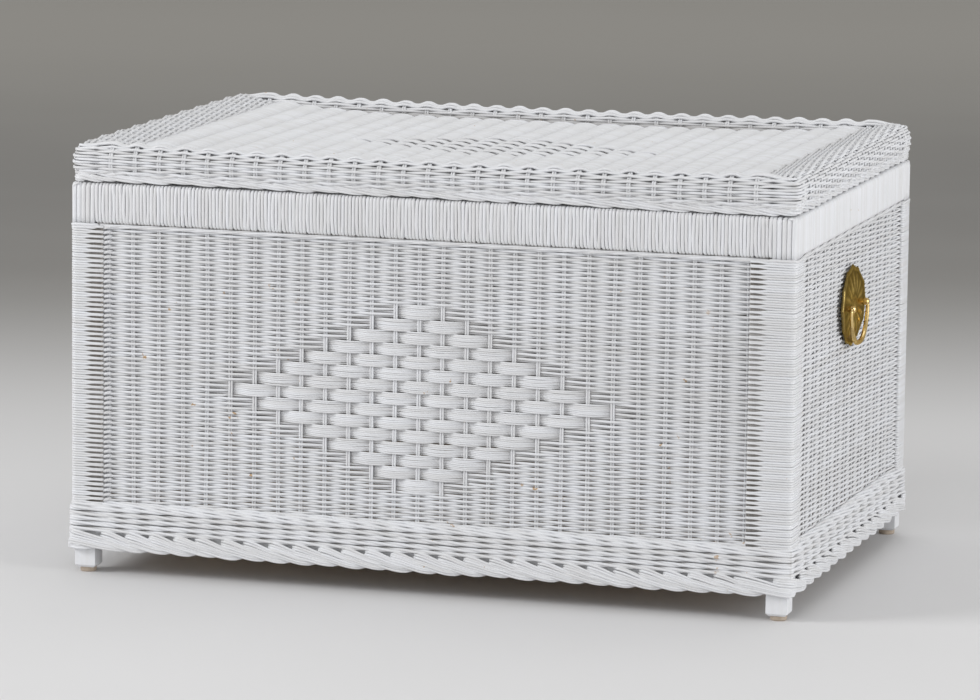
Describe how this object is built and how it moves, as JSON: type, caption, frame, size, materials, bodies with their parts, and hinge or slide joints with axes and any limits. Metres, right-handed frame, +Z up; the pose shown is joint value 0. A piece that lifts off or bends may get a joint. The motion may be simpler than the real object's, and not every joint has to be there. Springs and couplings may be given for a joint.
{
  "type": "wicker storage trunk",
  "caption": "Rectangular painted wicker trunk on short square feet, with a flat hinged lid and a brass drop pull on each end.",
  "frame": {"origin": "middle of the plan at floor level", "axes": "+X along the trunk's width to the end with the right-hand pull, +Y from the front to the hinged back, +Z up"},
  "size_m": [0.923, 0.623, 0.53],
  "materials": {
    "painted_reed": "white paint over reed, satin, worn at the high spots",
    "painted_wood": "white paint, satin",
    "bare_wood": "unpainted",
    "plywood": "unpainted, sanded",
    "brass": "polished, lightly tarnished",
    "antique_brass": "antiqued, dark in the recesses",
    "zinc": "zinc plated"
  },
  "bodies": {
    "trunk": {"bottom_rail_back": "painted_wood", "bottom_rail_front": "painted_wood", "bottom_rail_left": "painted_wood", "bottom_rail_right": "painted_wood", "corner_post_back_left": "painted_wood", "corner_post_back_right": "painted_wood", "corner_post_front_left": "painted_wood", "corner_post_front_right": "painted_wood", "corner_wrap_back_left": "painted_reed", "corner_wrap_back_right": "painted_reed", "corner_wrap_front_left": "painted_reed", "corner_wrap_front_right": "painted_reed", "floor_panel": "plywood", "foot_border": "painted_reed", "foot_glide_back_left": "bare_wood", "foot_glide_back_right": "bare_wood", "foot_glide_front_left": "bare_wood", "foot_glide_front_right": "bare_wood", "hinge_body_leaf_left": "zinc", "hinge_body_leaf_right": "zinc", "hinge_pin_left": "zinc", "hinge_pin_right": "zinc", "post_wrap_back_left": "painted_reed", "post_wrap_back_right": "painted_reed", "post_wrap_front_left": "painted_reed", "post_wrap_front_right": "painted_reed", "pull_backing_left": "bare_wood", "pull_backing_right": "bare_wood", "pull_plate_left": "antique_brass", "pull_plate_right": "antique_brass", "pull_post_left_back": "brass", "pull_post_left_front": "brass", "pull_post_right_back": "brass", "pull_post_right_front": "brass", "rail_wrap_back": "painted_reed", "rail_wrap_front": "painted_reed", "rail_wrap_left": "painted_reed", "rail_wrap_right": "painted_reed", "top_rail_back": "painted_wood", "top_rail_front": "painted_wood", "top_rail_left": "painted_wood", "top_rail_right": "painted_wood", "waling_band": "painted_reed", "woven_panel_back": "painted_reed", "woven_panel_front": "painted_reed", "woven_panel_left": "painted_reed", "woven_panel_right": "painted_reed"},
    "lid": {"hinge_lid_leaf_left": "zinc", "hinge_lid_leaf_right": "zinc", "lid_batten": "painted_wood", "lid_border": "painted_reed", "lid_rail_back": "painted_wood", "lid_rail_front": "painted_wood", "lid_rail_left": "painted_wood", "lid_rail_right": "painted_wood", "lid_side_weave": "painted_reed", "lid_top_weave": "painted_reed"},
    "bail_left": {"pull_bail_left": "brass"},
    "bail_right": {"pull_bail_right": "brass"}
  },
  "joints": [
    {"name": "lid_hinge", "type": "hinge", "parent": "trunk", "child": "lid", "pos_m": [0, 0.3082, 0.481], "axis": [-1, 0, 0], "range_deg": [0, 100]},
    {"name": "bail_right_swing", "type": "hinge", "parent": "trunk", "child": "bail_right", "pos_m": [0.4575, 0, 0.3355], "axis": [0, -1, 0], "range_deg": [-5, 185]},
    {"name": "bail_left_swing", "type": "hinge", "parent": "trunk", "child": "bail_left", "pos_m": [-0.4575, 0, 0.3355], "axis": [0, 1, 0], "range_deg": [-5, 185]}
  ]
}
